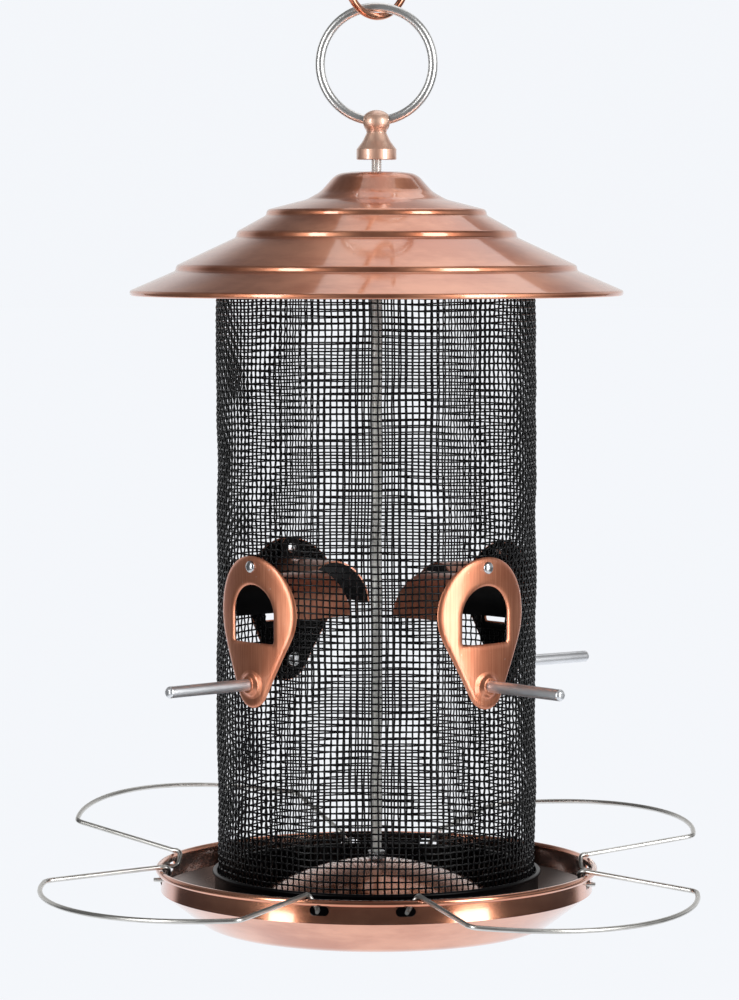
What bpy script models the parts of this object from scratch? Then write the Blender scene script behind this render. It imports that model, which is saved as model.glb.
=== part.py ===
"""Hanging mesh-tube bird feeder with a stepped roof, four feeding ports, a seed tray and wire perches.

Frame: +Z up, origin at the bottom centre of the tray. The ports face -Y, +X, +Y and -X, numbered 1 to 4;
the last two sit a few degrees round from square.
"""

from math import asin, cos, pi, radians, sin, sqrt, tan

import bmesh
import bpy
from mathutils import Matrix, Vector

mm = 0.001

# ---- driving dimensions ---------------------------------------------------------------------------
PORT_TURNS = (0.0, radians(90.0), radians(173.5), radians(263.5))  # each port as riveted
LOOP_COUNT = 4
GAP = 0.3 * mm                     # between pieces that touch
ROUND_STEPS = 48                   # facets round the tube and what fits it
SHELL_STEPS = 32                   # facets round the roof and the tray

TUBE_RADIUS = 76.2 * mm            # outside of the woven mesh
TUBE_WALL = 1.4 * mm               # two crossing wires
COLLAR_WALL = 1.0 * mm
COLLAR_RISE = 26.0 * mm            # height of the base collar above the tray floor
TOP_BAND_HEIGHT = 10.0 * mm

ROD_RADIUS = 2.5 * mm
ROD_CLEARANCE = 0.35 * mm
NUT_ACROSS_FLATS = 8.0 * mm
NUT_HEIGHT = 3.8 * mm
WASHER_RADIUS = 6.0 * mm
WASHER_THICKNESS = 1.0 * mm
ROD_TAIL = 3.0 * mm                # thread left below the bottom nut

SHEET = 0.8 * mm                   # copper sheet of the roof and the tray
TROUGH_WIDTH = 25.7 * mm           # from the base collar out to the middle of the tray's wall
TRAY_WALL_FOOT = 17.5 * mm         # height where the wall turns in
TRAY_RIM_HEIGHT = 27.0 * mm        # height of the middle of the rolled rim
RIM_CURL_RADIUS = 1.2 * mm         # of the sheet's middle
BOTTOM_MARGIN = 3.5 * mm           # flat ring outside the base collar
DOME_SETBACK = 5.2 * mm            # from the tube's outside in to the foot of the raised centre
DOME_RISE = 31.0 * mm              # apex of the raised centre above the flat ring

ROOF_TOP = 359.6 * mm
ROOF_CROWN = ((13.0, 0.0), (18.2, 0.8), (21.6, 3.1), (25.0, 6.9), (29.2, 10.9), (32.4, 12.7))
ROOF_STEPS = ((52.0, 17.9, 21.0), (66.3, 28.2, 31.5), (95.0, 44.2, 47.4), (117.2, 56.2, 59.8))
ROOF_NOSE = 2.4 * mm               # length of the rounded lip at each step

FINIAL_GAP = 5.6 * mm              # thread that shows between the roof and the finial
FINIAL_BAND_RADIUS = 9.5 * mm
FINIAL_BAND_HEIGHT = 4.8 * mm
FINIAL_HEIGHT = 23.6 * mm
FINIAL_NECK_RADIUS = 4.7 * mm
FINIAL_NECK_HEIGHT = 13.0 * mm
BALL_RADIUS = 7.1 * mm
ROD_IN_FINIAL = 8.5 * mm

RING_WIRE_RADIUS = 2.25 * mm
RING_RADIUS = 26.75 * mm           # of the wire's middle
RING_HOLE_RADIUS = 3.6 * mm
RING_HOLE_OFFSET = 0.5 * mm        # the ring's wire hangs this far above the hole's middle
RING_TURN = radians(45.0)          # direction of the cross hole about +Z

HOOK_WIRE_RADIUS = 1.8 * mm
HOOK_RADIUS = 19.0 * mm
HOOK_LEAN = radians(60.0)          # where the hook's two bends leave for its middle stretch

PORT_PLATE = 1.0 * mm
PLATE_TOP = 181.0 * mm
PLATE_BOTTOM = 110.0 * mm
PLATE_HALF_WIDTH = 26.6 * mm
PLATE_TOE_RADIUS = 11.0 * mm
WINDOW_BOTTOM = 140.6 * mm
WINDOW_HEIGHT = 27.0 * mm
WINDOW_HALF_WIDTH = 14.1 * mm
PAD_RADIUS = 6.4 * mm              # pressed seat round the perch
PAD_HEIGHT = 1.8 * mm

HOOD_THICKNESS = 0.8 * mm
HOOD_RADIUS = 17.5 * mm
HOOD_DROP = 4.1 * mm               # from the rivet's middle down to the hood's crown
HOOD_SKIRT = 3.0 * mm              # straight side below the half round
HOOD_INNER_RADIUS = 31.0 * mm      # how near its lower edge comes to the rod
HOOD_END_SLOPE = 0.27              # its end leans back by this much for each unit of height
HOOD_TAB_HALF_WIDTH = 5.5 * mm

RIVET_HEIGHT = 176.0 * mm
RIVET_HEAD_RADIUS = 2.9 * mm
RIVET_HEAD_HEIGHT = 1.6 * mm
RIVET_SHANK_RADIUS = 1.5 * mm

PERCH_HEIGHT = 121.0 * mm
PERCH_RADIUS = 2.75 * mm
PERCH_LENGTH = 48.0 * mm           # outside its seat
PERCH_SHANK_RADIUS = 2.0 * mm
PERCH_NUT_ACROSS_FLATS = 7.0 * mm
PERCH_NUT_HEIGHT = 3.2 * mm

WIRE_RADIUS = 1.15 * mm            # of the perch loops
WIRE_BEND = 2.5 * mm
LOOP_CORNER_BEND = 6.0 * mm
LOOP_REACH = 178.0 * mm            # from the feeder's axis to the loop's far side
LOOP_ARC_RADIUS = 92.0 * mm
LOOP_HALF_WIDTH = 71.5 * mm
LOOP_RISE = (radians(-3.0), radians(-5.0), radians(6.0), radians(11.0))  # each loop as bent
RIM_CROSSING = radians(30.5)       # where an arm crosses the rim, from its loop's middle
HOLE_BEARING = radians(34.0)       # where its end passes through the wall
HOLE_HEIGHT = 23.1 * mm
HOLE_HALF_WIDTH = 4.6 * mm
HOLE_HALF_RISE = 2.3 * mm
STUB_LENGTH = 3.4 * mm             # wire that shows outside the wall

# ---- sizes that follow ----------------------------------------------------------------------------
TUBE_INSIDE = TUBE_RADIUS - TUBE_WALL
TRAY_FLOOR = SHEET                           # top of the flat ring
TUBE_BOTTOM = TRAY_FLOOR + 2.0 * mm
COLLAR_BOTTOM = TRAY_FLOOR + GAP
COLLAR_INSIDE = TUBE_RADIUS + GAP
COLLAR_RADIUS = COLLAR_INSIDE + COLLAR_WALL
TRAY_BOTTOM_RADIUS = COLLAR_RADIUS + BOTTOM_MARGIN
TRAY_WALL_RADIUS = COLLAR_RADIUS + TROUGH_WIDTH
DOME_FOOT_RADIUS = TUBE_RADIUS - DOME_SETBACK
PLATE_INSIDE = TUBE_RADIUS + GAP
PLATE_RADIUS = PLATE_INSIDE + PORT_PLATE
PAD_FACE = PLATE_RADIUS + PAD_HEIGHT
HOOD_CENTRE = RIVET_HEIGHT - HOOD_DROP - HOOD_RADIUS
PERCH_TIP = PAD_FACE + GAP + PERCH_LENGTH
DOME_TOP = DOME_RISE
RIM_TOP = TRAY_RIM_HEIGHT + RIM_CURL_RADIUS + SHEET / 2
FINIAL_BOTTOM = ROOF_TOP + FINIAL_GAP
FINIAL_TOP = FINIAL_BOTTOM + FINIAL_HEIGHT
BALL_BOTTOM = FINIAL_BOTTOM + FINIAL_NECK_HEIGHT
BALL_CENTRE = (FINIAL_TOP + BALL_BOTTOM) / 2 - 0.25 * mm
RING_HOLE_HEIGHT = BALL_CENTRE - 0.1 * mm
RING_CENTRE = RING_HOLE_HEIGHT + RING_HOLE_OFFSET + RING_RADIUS
ROD_TOP = FINIAL_BOTTOM + ROD_IN_FINIAL
ROD_BOTTOM = DOME_TOP - SHEET - 2 * GAP - WASHER_THICKNESS - NUT_HEIGHT - ROD_TAIL
ARM_HEIGHT = RIM_TOP + WIRE_RADIUS + GAP
LEG_RADIUS = TRAY_WALL_RADIUS - SHEET / 2 - WIRE_RADIUS - 1.2 * mm


# ---- scene and materials --------------------------------------------------------------------------
def clear_scene():
    for obj in list(bpy.data.objects):
        bpy.data.objects.remove(obj, do_unlink=True)


def new_collection(name):
    collection = bpy.data.collections.new(name)
    bpy.context.scene.collection.children.link(collection)
    return collection


def material(name, colour, roughness, metallic):
    mat = bpy.data.materials.new(name)
    mat.use_nodes = True
    shader = mat.node_tree.nodes["Principled BSDF"]
    shader.inputs["Base Color"].default_value = (*colour, 1.0)
    shader.inputs["Roughness"].default_value = roughness
    shader.inputs["Metallic"].default_value = metallic
    mat.diffuse_color = (*colour, 1.0)
    return mat


clear_scene()
PARTS = new_collection("bird_feeder")
CUTTERS = new_collection("cutters")
COPPER = material("brushed_copper", (0.60, 0.25, 0.15), 0.34, 1.0)
BLACK = material("black_enamel", (0.012, 0.012, 0.013), 0.30, 0.0)
MESH_BLACK = material("black_mesh", (0.010, 0.010, 0.012), 0.35, 0.0)
STEEL = material("bright_steel", (0.62, 0.63, 0.62), 0.22, 1.0)
ZINC = material("zinc_plate", (0.66, 0.68, 0.70), 0.30, 1.0)
ALUMINIUM = material("aluminium", (0.72, 0.73, 0.74), 0.32, 1.0)


# ---- modelling helpers ----------------------------------------------------------------------------
def link(obj, mat=None):
    PARTS.objects.link(obj)
    if mat:
        obj.data.materials.append(mat)
    return obj


def shade(mesh, angle=35.0):
    mesh.shade_smooth()
    mesh.set_sharp_from_angle(angle=radians(angle))


def as_cutter(obj):
    for collection in list(obj.users_collection):
        collection.objects.unlink(obj)
    CUTTERS.objects.link(obj)
    obj.hide_render = True
    obj.display_type = "WIRE"
    return obj


def modifier(obj, kind, **settings):
    mod = obj.modifiers.new(kind.title(), kind)
    for key, value in settings.items():
        setattr(mod, key, value)
    return mod


def boolean(obj, other, operation="DIFFERENCE"):
    return modifier(obj, "BOOLEAN", operation=operation, object=other, solver="EXACT")


def frozen(obj, name):
    """A plain mesh of the object as evaluated, with its place in the mesh."""
    bpy.context.view_layer.update()
    graph = bpy.context.evaluated_depsgraph_get()
    mesh = bpy.data.meshes.new_from_object(obj.evaluated_get(graph))
    mesh.transform(obj.matrix_world)
    mesh.name = name
    build = bmesh.new()
    build.from_mesh(mesh)
    bmesh.ops.remove_doubles(build, verts=build.verts, dist=1e-6)
    build.to_mesh(mesh)
    build.free()
    return mesh


def turned(name, profile, mat, steps=ROUND_STEPS, closed=True):
    """Screw a profile of (radius, height) points about Z; it runs down its outer side."""
    mesh = bpy.data.meshes.new(name)
    edges = [(i, i + 1) for i in range(len(profile) - 1)]
    if closed:
        edges.append((len(profile) - 1, 0))
    mesh.from_pydata([(r, 0.0, z) for r, z in profile], edges, [])
    obj = link(bpy.data.objects.new(name, mesh), mat)
    modifier(obj, "SCREW", angle=2 * pi, steps=steps, render_steps=steps,
             use_merge_vertices=True, merge_threshold=1e-5, use_smooth_shade=True)
    return obj


def arc(centre, radius, start, end, count):
    """Points on an arc, angles in degrees, both ends included."""
    angles = [radians(start + (end - start) * i / count) for i in range(count + 1)]
    return [(centre[0] + radius * cos(a), centre[1] + radius * sin(a)) for a in angles]


def prism(name, outline, near, far):
    """The outline, as (x, z) points, made solid from y = -near to y = -far."""
    curve = bpy.data.curves.new(name, "CURVE")
    curve.dimensions = "2D"
    curve.fill_mode = "BOTH"
    curve.extrude = abs(far - near) / 2
    spline = curve.splines.new("POLY")
    spline.points.add(len(outline) - 1)
    for point, (x, z) in zip(spline.points, outline):
        point.co = (x, z, 0.0, 1.0)
    spline.use_cyclic_u = True
    guide = link(bpy.data.objects.new(name + "_outline", curve))
    guide.matrix_world = Matrix.Translation((0, -(near + far) / 2, 0)) @ Matrix.Rotation(pi / 2, 4, "X")
    obj = link(bpy.data.objects.new(name, frozen(guide, name)))
    bpy.data.objects.remove(guide)
    return obj


def peg(name, profile, mat=None, steps=16):
    """A turned piece whose profile is (radius, distance from the feeder's axis), lying along -Y."""
    obj = turned(name, profile, mat, steps)
    obj.rotation_euler = (pi / 2, 0, 0)
    return obj


def wire(name, points, radius, mat, cyclic=False):
    curve = bpy.data.curves.new(name, "CURVE")
    curve.dimensions = "3D"
    curve.bevel_depth = radius
    curve.bevel_resolution = 2
    curve.use_fill_caps = True
    curve.twist_mode = "MINIMUM"
    spline = curve.splines.new("POLY")
    spline.points.add(len(points) - 1)
    for point, place in zip(spline.points, points):
        point.co = (*place, 1.0)
    spline.use_cyclic_u = cyclic
    return link(bpy.data.objects.new(name, curve), mat)


def rounded(corners, bends, segments=4):
    """A polyline through the corners, each inner one rounded to the given bend radius."""
    path = [corners[0]]
    for before, corner, after, bend in zip(corners, corners[1:], corners[2:], bends):
        back = (before - corner).normalized()
        ahead = (after - corner).normalized()
        half = back.angle(ahead) / 2
        reach = bend / tan(half)
        middle = corner + (back + ahead).normalized() * (bend / sin(half))
        first = corner + back * reach - middle
        last = corner + ahead * reach - middle
        for i in range(segments + 1):
            path.append(middle + first.normalized().slerp(last.normalized(), i / segments) * bend)
    path.append(corners[-1])
    return path


def hexagon(across_flats):
    corner = across_flats / sqrt(3.0)
    return [(corner * cos(radians(60 * i)), corner * sin(radians(60 * i))) for i in range(6)]


def nut(name, across_flats, height, hole, mat):
    """A hexagon nut standing on z = 0."""
    body = prism(name + "_body", hexagon(across_flats), 0.0, height)
    body.data.transform(Matrix.Rotation(-pi / 2, 4, "X"))
    bore = turned(name + "_bore", [(hole, height + mm), (hole, -mm), (0, -mm), (0, height + mm)],
                  None, 16)
    boolean(body, as_cutter(bore))
    mesh = frozen(body, name)
    bpy.data.objects.remove(body)
    obj = bpy.data.objects.new(name, mesh)
    return link(obj, mat)


def port_copies(name, source, mat):
    """One copy of a port's piece at each port, sharing a mesh."""
    mesh = frozen(source, name)
    mesh.materials.clear()
    mesh.materials.append(mat)
    shade(mesh)
    as_cutter(source)
    for number, turn in enumerate(PORT_TURNS, 1):
        copy = link(bpy.data.objects.new(f"{name}_{number}", mesh))
        copy.rotation_euler = (0, 0, turn)


# ---- outlines -------------------------------------------------------------------------------------
def arch(half_width, bottom, height, count=10):
    """A flat-bottomed outline with a half-round top."""
    spring = bottom + height - half_width
    return [(-half_width, bottom), (half_width, bottom)] + arc((0, spring), half_width, 0, 180, count)


def egg(half_width, toe, bottom, top):
    """A broad round top and a narrow round toe, joined by straight tangents."""
    upper = top - half_width
    lower = bottom + toe
    slope = asin((half_width - toe) / (upper - lower)) * 180 / pi
    return (arc((0, upper), half_width, -slope, 180 + slope, 16)
            + arc((0, lower), toe, 180 + slope, 360 - slope, 8))


def tube_shell(name, inside, outside, bottom, top, mat=None):
    profile = [(outside, top), (outside, bottom), (inside, bottom), (inside, top)]
    return turned(name, profile, mat)


# ---- tray, collar and tube ------------------------------------------------------------------------
def tray_profile():
    """The middle of the tray's sheet, from the rim in to the hole for the rod."""
    middle = SHEET / 2
    curl_centre = (TRAY_WALL_RADIUS + RIM_CURL_RADIUS, TRAY_RIM_HEIGHT)
    curl = arc(curl_centre, RIM_CURL_RADIUS, -80, 180, 5)
    slope = [(TRAY_WALL_RADIUS, TRAY_WALL_FOOT),
             (TRAY_WALL_RADIUS - 6.5 * mm, TRAY_WALL_FOOT * 0.66),
             (TRAY_BOTTOM_RADIUS + 2.0 * mm, middle + 1.0 * mm),
             (TRAY_BOTTOM_RADIUS, middle)]
    crown = DOME_RISE - middle
    fall = (crown - middle) * 0.56 / (DOME_FOOT_RADIUS * 0.80) ** 2
    dome = [(DOME_FOOT_RADIUS, middle)]
    for share in (0.80, 0.60, 0.40, 0.20):
        radius = DOME_FOOT_RADIUS * share
        dome.append((radius, crown - fall * radius ** 2))
    return curl + slope + dome + [(ROD_RADIUS + ROD_CLEARANCE, crown)]


def make_tray():
    tray = turned("tray", tray_profile(), COPPER, SHELL_STEPS, closed=False)
    modifier(tray, "SOLIDIFY", thickness=SHEET, offset=0.0, use_even_offset=True)
    slot = [(HOLE_HALF_WIDTH - HOLE_HALF_RISE, HOLE_HEIGHT)]
    right = arc(slot[0], HOLE_HALF_RISE, -90, 90, 6)
    left = arc((-slot[0][0], HOLE_HEIGHT), HOLE_HALF_RISE, 90, 270, 6)
    for i in range(LOOP_COUNT):
        for side in (-1, 1):
            cutter = prism(f"wall_hole_{i + 1}_{'ab'[side > 0]}", right + left,
                           TRAY_WALL_RADIUS - 4 * mm, TRAY_WALL_RADIUS + 4 * mm)
            cutter.rotation_euler = (0, 0, 2 * pi * i / LOOP_COUNT + side * HOLE_BEARING)
            boolean(tray, as_cutter(cutter))


def roof_height_at(radius):
    """Height of the roof's outer surface at a radius."""
    profile = roof_profile()
    for (r0, z0), (r1, z1) in zip(profile, profile[1:]):
        if r0 <= radius <= r1:
            return z0 + (z1 - z0) * (radius - r0) / (r1 - r0)
    return profile[-1][1]


def make_tube():
    tube = tube_shell("tube_mesh", TUBE_INSIDE, TUBE_RADIUS, TUBE_BOTTOM, TUBE_TOP, MESH_BLACK)
    reach = (TUBE_RADIUS - 12 * mm, TUBE_RADIUS + 8 * mm)
    window = arch(WINDOW_HALF_WIDTH + 0.6 * mm, WINDOW_BOTTOM - 0.6 * mm, WINDOW_HEIGHT + 1.2 * mm)
    rivet_hole = arc((0, RIVET_HEIGHT), RIVET_SHANK_RADIUS + GAP, 0, 330, 11)
    perch_hole = arc((0, PERCH_HEIGHT), PERCH_SHANK_RADIUS + GAP, 0, 330, 11)
    for number, turn in enumerate(PORT_TURNS, 1):
        for label, outline in (("window", window), ("rivet", rivet_hole), ("perch", perch_hole)):
            cutter = prism(f"tube_{label}_{number}", outline, *reach)
            cutter.rotation_euler = (0, 0, turn)
            boolean(tube, as_cutter(cutter))


def make_collars():
    tube_shell("base_collar", COLLAR_INSIDE, COLLAR_RADIUS, COLLAR_BOTTOM,
               TRAY_FLOOR + COLLAR_RISE, BLACK)
    band_inside = TUBE_RADIUS + GAP
    tube_shell("top_band", band_inside, band_inside + COLLAR_WALL, TUBE_TOP - TOP_BAND_HEIGHT,
               TUBE_TOP, BLACK)


# ---- ports ----------------------------------------------------------------------------------------
def make_port_plates():
    plate = tube_shell("plate_blank", PLATE_INSIDE, PLATE_RADIUS, PLATE_BOTTOM - 5 * mm,
                       PLATE_TOP + 5 * mm)
    reach = (TUBE_RADIUS * 0.6, TUBE_RADIUS + 12 * mm)
    outline = egg(PLATE_HALF_WIDTH, PLATE_TOE_RADIUS, PLATE_BOTTOM, PLATE_TOP)
    boolean(plate, as_cutter(prism("plate_outline", outline, *reach)), "INTERSECT")
    pad = peg("plate_pad", [(0, PAD_FACE), (PAD_RADIUS * 0.72, PAD_FACE),
                            (PAD_RADIUS, PLATE_RADIUS - 0.5 * mm), (0, PLATE_RADIUS - 0.5 * mm)])
    pad.location = (0, 0, PERCH_HEIGHT)
    boolean(plate, as_cutter(pad), "UNION")
    window = arch(WINDOW_HALF_WIDTH, WINDOW_BOTTOM, WINDOW_HEIGHT)
    rivet_hole = arc((0, RIVET_HEIGHT), RIVET_SHANK_RADIUS + GAP, 0, 330, 11)
    perch_hole = arc((0, PERCH_HEIGHT), PERCH_SHANK_RADIUS + GAP, 0, 330, 11)
    for label, hole in (("window", window), ("rivet", rivet_hole), ("perch", perch_hole)):
        boolean(plate, as_cutter(prism(f"plate_{label}", hole, *reach)))
    port_copies("port_plate", plate, COPPER)


def hood_outline():
    """Section of the hood: a half round with short straight sides, open below."""
    inner = HOOD_RADIUS - HOOD_THICKNESS
    foot = HOOD_CENTRE - HOOD_SKIRT
    outside = arc((0, HOOD_CENTRE), HOOD_RADIUS, 0, 180, 12)
    inside = arc((0, HOOD_CENTRE), inner, 180, 0, 12)
    return [(HOOD_RADIUS, foot)] + outside + [(-HOOD_RADIUS, foot), (-inner, foot)] + inside + [(inner, foot)]


def make_port_hoods():
    wall_side = TUBE_INSIDE - GAP
    hood = prism("hood_blank", hood_outline(), HOOD_INNER_RADIUS, wall_side + 5 * mm)
    foot = HOOD_CENTRE - HOOD_SKIRT
    for vertex in hood.data.vertices:
        if vertex.co.y > -HOOD_INNER_RADIUS - 0.1 * mm:
            vertex.co.y -= (vertex.co.z - foot) * HOOD_END_SLOPE
    crown = HOOD_CENTRE + HOOD_RADIUS
    tab_top = RIVET_HEIGHT + HOOD_TAB_HALF_WIDTH
    tab = tube_shell("hood_tab", wall_side - HOOD_THICKNESS, wall_side + 3 * mm, crown - 12 * mm,
                     tab_top + 5 * mm)
    tab_outline = arch(HOOD_TAB_HALF_WIDTH, crown - 1.6 * mm, tab_top - crown + 1.6 * mm, 8)
    boolean(tab, as_cutter(prism("tab_outline", tab_outline, 50 * mm, TUBE_RADIUS + 9 * mm)), "INTERSECT")
    boolean(hood, as_cutter(tab), "UNION")
    bore = turned("hood_bore", [(wall_side, PLATE_TOP + 20 * mm), (wall_side, PLATE_BOTTOM - 20 * mm),
                                (0, PLATE_BOTTOM - 20 * mm), (0, PLATE_TOP + 20 * mm)], None)
    boolean(hood, as_cutter(bore), "INTERSECT")
    rivet_hole = arc((0, RIVET_HEIGHT), RIVET_SHANK_RADIUS + GAP, 0, 330, 11)
    boolean(hood, as_cutter(prism("tab_hole", rivet_hole, 50 * mm, TUBE_RADIUS)))
    port_copies("port_hood", hood, COPPER)


def make_port_rivets():
    head = PLATE_RADIUS + GAP
    tail = TUBE_INSIDE - GAP - HOOD_THICKNESS - GAP - 0.2 * mm
    bulge = RIVET_SHANK_RADIUS + 1.0 * mm
    dome = [(RIVET_HEAD_RADIUS * cos(radians(a)), head + RIVET_HEAD_HEIGHT * sin(radians(a)))
            for a in (67.5, 45, 22.5, 0)]
    profile = ([(0, head + RIVET_HEAD_HEIGHT)] + dome
               + [(RIVET_SHANK_RADIUS, head), (RIVET_SHANK_RADIUS, tail), (bulge, tail),
                  (bulge * 0.7, tail - 1.0 * mm), (0, tail - 1.2 * mm)])
    rivet = peg("rivet_blank", profile, None, 12)
    rivet.location = (0, 0, RIVET_HEIGHT)
    port_copies("port_rivet", rivet, ZINC)


def make_perches():
    shoulder = PAD_FACE + GAP
    shank_end = TUBE_INSIDE - GAP - PERCH_NUT_HEIGHT - 2.5 * mm
    nose = [(PERCH_RADIUS * sin(radians(a)), PERCH_TIP - PERCH_RADIUS * (1 - cos(radians(a))))
            for a in (0, 30, 60, 90)]
    profile = nose + [(PERCH_RADIUS, shoulder), (PERCH_SHANK_RADIUS, shoulder),
                      (PERCH_SHANK_RADIUS, shank_end), (0, shank_end)]
    perch = peg("perch_blank", profile, None, 12)
    perch.location = (0, 0, PERCH_HEIGHT)
    port_copies("perch", perch, ALUMINIUM)
    seat = TUBE_INSIDE * cos(pi / ROUND_STEPS) - 2 * GAP
    blank = nut("perch_nut_blank", PERCH_NUT_ACROSS_FLATS, PERCH_NUT_HEIGHT,
                PERCH_SHANK_RADIUS + GAP, ZINC)
    blank.rotation_euler = (pi / 2, 0, 0)
    blank.location = (0, -(seat - PERCH_NUT_HEIGHT), PERCH_HEIGHT)
    port_copies("perch_nut", blank, ZINC)


# ---- rod and its fastenings -----------------------------------------------------------------------
def make_rod():
    rod = [(0, ROD_TOP), (ROD_RADIUS - 0.5 * mm, ROD_TOP), (ROD_RADIUS, ROD_TOP - 0.5 * mm),
           (ROD_RADIUS, ROD_BOTTOM + 0.5 * mm), (ROD_RADIUS - 0.5 * mm, ROD_BOTTOM), (0, ROD_BOTTOM)]
    turned("centre_rod", rod, STEEL, 16)
    hole = ROD_RADIUS + GAP
    upper = nut("dome_nut", NUT_ACROSS_FLATS, NUT_HEIGHT, hole, ZINC)
    upper.location = (0, 0, DOME_TOP + GAP)
    washer_top = DOME_TOP - SHEET - 2 * GAP
    washer_bottom = washer_top - WASHER_THICKNESS
    turned("bottom_washer", [(WASHER_RADIUS, washer_top), (WASHER_RADIUS, washer_bottom),
                             (hole, washer_bottom), (hole, washer_top)], ZINC, 24)
    lower = nut("bottom_nut", NUT_ACROSS_FLATS, NUT_HEIGHT, hole, ZINC)
    lower.location = (0, 0, washer_bottom - GAP - NUT_HEIGHT)


# ---- roof, finial, ring and hook ------------------------------------------------------------------
def roof_profile():
    """The outside of the roof, from the rod's hole out to the rim."""
    points = [(ROD_RADIUS + ROD_CLEARANCE, ROOF_TOP)]
    points += [(r * mm, ROOF_TOP - fall * mm) for r, fall in ROOF_CROWN]
    for edge, lip, foot in ROOF_STEPS:
        edge, lip, foot = edge * mm, ROOF_TOP - lip * mm, ROOF_TOP - foot * mm
        start_r, start_z = points[-1]
        run = Vector((edge - start_r, lip - start_z)).normalized()
        lead = Vector((edge, lip)) - run * ROOF_NOSE * 0.6
        points += [(start_r + 1.6 * mm, start_z - 0.9 * mm), tuple(lead),
                   (edge - 0.35 * mm, (lip * 0.62 + foot * 0.38)), (edge, foot)]
    return points


def make_roof():
    roof = turned("roof", roof_profile(), COPPER, SHELL_STEPS, closed=False)
    modifier(roof, "SOLIDIFY", thickness=SHEET, offset=-1.0, use_even_offset=True)


def make_finial():
    half_height = (FINIAL_TOP - BALL_BOTTOM) / 2 + 0.25 * mm
    ball = [(BALL_RADIUS * sin(radians(a)), BALL_CENTRE + half_height * cos(radians(a)))
            for a in range(0, 136, 15)]
    neck = FINIAL_BOTTOM + FINIAL_NECK_HEIGHT
    band_top = FINIAL_BOTTOM + FINIAL_BAND_HEIGHT
    bore = ROD_RADIUS + GAP
    bore_top = ROD_TOP + 1.0 * mm
    profile = ball + [(FINIAL_NECK_RADIUS, neck), (FINIAL_NECK_RADIUS + 0.3 * mm, neck - 1.0 * mm),
                      (6.5 * mm, band_top + 4.0 * mm), (9.0 * mm, band_top + 0.6 * mm),
                      (FINIAL_BAND_RADIUS, band_top - 0.2 * mm), (FINIAL_BAND_RADIUS, FINIAL_BOTTOM),
                      (bore, FINIAL_BOTTOM), (bore, bore_top), (0, bore_top + 1.2 * mm)]
    finial = turned("finial", profile, COPPER, 24)
    finial.rotation_euler = (0, 0, RING_TURN)
    reach = BALL_RADIUS + 4 * mm
    hole = turned("ring_hole", [(RING_HOLE_RADIUS, reach), (RING_HOLE_RADIUS, -reach), (0, -reach),
                                (0, reach)], None, 16)
    hole.rotation_euler = (0, pi / 2, RING_TURN)
    hole.location = (0, 0, RING_HOLE_HEIGHT)
    boolean(finial, as_cutter(hole))


def make_ring():
    bpy.ops.mesh.primitive_torus_add(major_radius=RING_RADIUS, minor_radius=RING_WIRE_RADIUS,
                                     major_segments=40, minor_segments=8,
                                     location=(0, 0, 0), rotation=(pi / 2, 0, 0))
    ring = bpy.context.object
    ring.name = ring.data.name = "hanging_ring"
    for collection in list(ring.users_collection):
        collection.objects.unlink(ring)
    link(ring, STEEL)
    ring.data.transform(Matrix.Rotation(pi / 2, 4, "X"))
    ring.data.transform(Matrix.Translation((0, 0, RING_CENTRE - RING_HOLE_HEIGHT)))
    ring.rotation_euler = (0, 0, RING_TURN)
    ring.location = (0, 0, RING_HOLE_HEIGHT)


def make_hook():
    """An S-hook in the Y-Z plane whose lower bend carries the ring. Its origin is the ring's wire."""
    pivot = RING_CENTRE + RING_RADIUS
    low = -(RING_WIRE_RADIUS + HOOK_WIRE_RADIUS + GAP) + HOOK_RADIUS
    high = low + 2 * HOOK_RADIUS / sin(HOOK_LEAN)
    lean = HOOK_LEAN * 180 / pi
    lower = arc((0, low), HOOK_RADIUS, 25, -180 - lean, 20)
    upper = arc((0, high), HOOK_RADIUS, -lean, 200, 20)
    hook = wire("hanging_hook", [(0, y, z) for y, z in lower + upper], HOOK_WIRE_RADIUS, COPPER)
    hook.location = (0, 0, pivot)


# ---- wire perches ---------------------------------------------------------------------------------
def loop_half(rise):
    """Corners of one arm, from its end outside the wall out to the loop's corner, with bend radii."""
    def at(bearing, radius, height):
        return Vector((radius * sin(bearing), -radius * cos(bearing), height))

    stub = at(HOLE_BEARING, TRAY_WALL_RADIUS + SHEET / 2 + STUB_LENGTH, HOLE_HEIGHT)
    heel = at(HOLE_BEARING - radians(0.8), LEG_RADIUS, HOLE_HEIGHT)
    knee = at(RIM_CROSSING, LEG_RADIUS, ARM_HEIGHT)
    over = at(RIM_CROSSING, TRAY_WALL_RADIUS + RIM_CURL_RADIUS, ARM_HEIGHT)
    corner = Vector((LOOP_HALF_WIDTH, -loop_corner_radius(), ARM_HEIGHT))
    return [stub, heel, knee, over, raised(corner, over, rise)]


def loop_corner_radius():
    return loop_arc_centre() + sqrt(LOOP_ARC_RADIUS ** 2 - LOOP_HALF_WIDTH ** 2)


def loop_arc_centre():
    return LOOP_REACH - LOOP_ARC_RADIUS


def raised(point, over, rise):
    """The point turned up about the rim crossing by the loop's rise."""
    out = -point.y + over.y
    return Vector((point.x, over.y - out * cos(rise), point.z + out * sin(rise)))


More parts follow.
